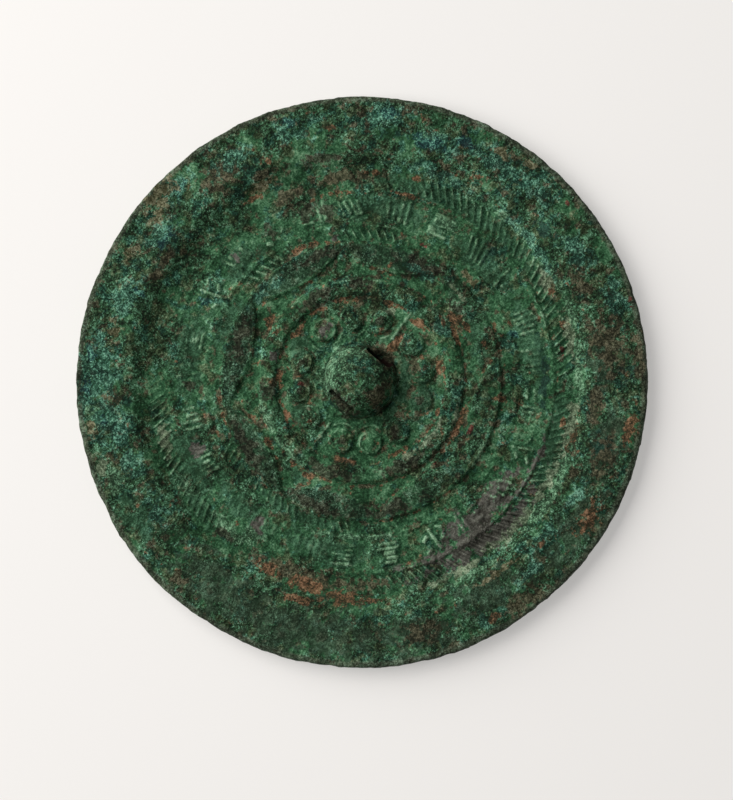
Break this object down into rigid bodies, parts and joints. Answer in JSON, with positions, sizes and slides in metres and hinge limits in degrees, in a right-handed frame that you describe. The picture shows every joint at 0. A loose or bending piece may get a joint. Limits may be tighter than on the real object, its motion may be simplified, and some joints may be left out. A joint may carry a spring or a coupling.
{
  "type": "ancient bronze mirror",
  "caption": "Round cast bronze mirror with a pierced central knob, linked-arc relief, comb bands, a shallow stroke band and a wide plain rim, under green and blue corrosion.",
  "frame": {"origin": "centre of the reflecting face, where the mirror rests when it lies with its decorated back up", "axes": "+Z out of the decorated back, +X along the cord hole through the knob"},
  "size_m": [0.124, 0.124, 0.0099],
  "materials": {
    "patinated_bronze": "cast high-tin bronze under matt dark green malachite corrosion, with pale mint specks, blue azurite patches, red-brown cuprite and orange-brown earth in the hollows, and some bare grey metal"
  },
  "bodies": {
    "root": {"bronze_mirror": "patinated_bronze"}
  },
  "joints": []
}
